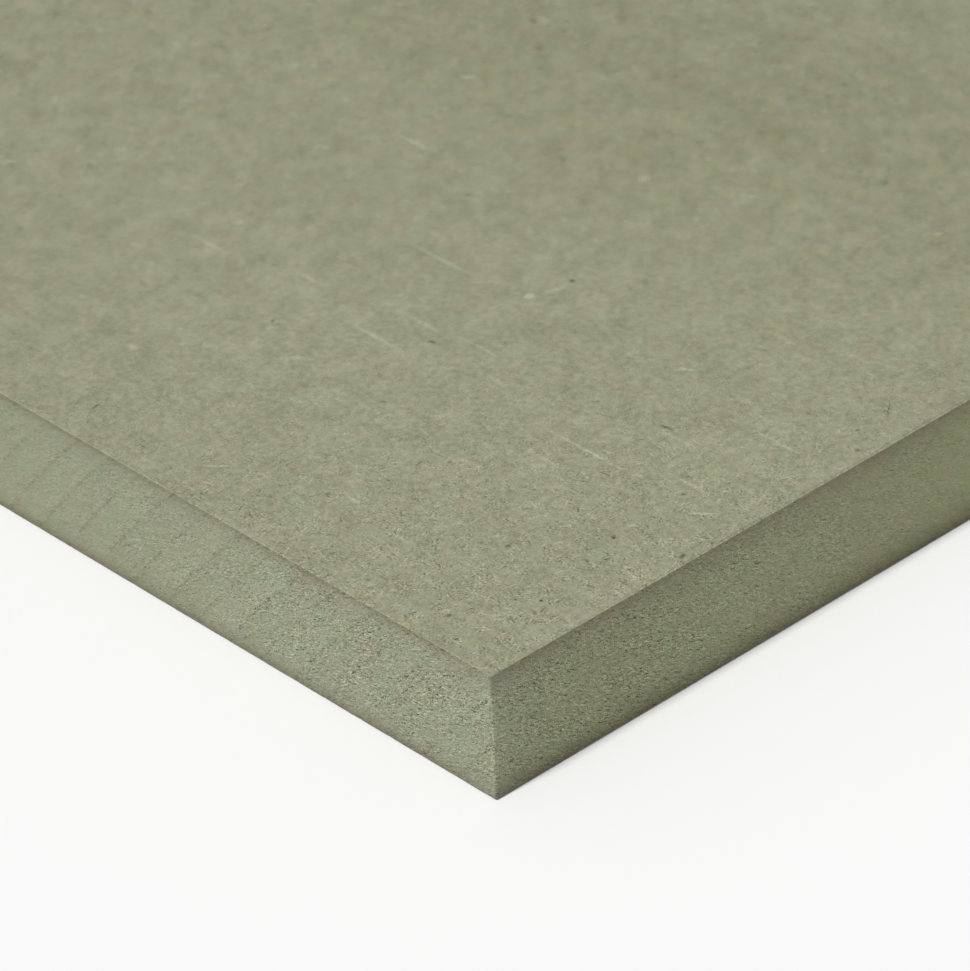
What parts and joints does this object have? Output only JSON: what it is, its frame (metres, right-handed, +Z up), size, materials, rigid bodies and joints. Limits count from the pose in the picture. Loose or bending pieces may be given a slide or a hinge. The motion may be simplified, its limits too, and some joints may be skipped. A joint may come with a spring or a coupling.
{
  "type": "moisture-resistant mdf board",
  "caption": "Flat rectangular sheet of green-tinted moisture-resistant fibreboard, with sanded faces and square sawn edges, for cutting into panels, shelves and furniture parts.",
  "frame": {"origin": "middle of the underside, on the floor that the sheet lies on", "axes": "+X along the sheet's length, +Y along its width, +Z up through its thickness"},
  "size_m": [2.44, 1.22, 0.018],
  "materials": {
    "green_mdf": "matte"
  },
  "bodies": {
    "root": {"mdf_board": "green_mdf"}
  },
  "joints": []
}
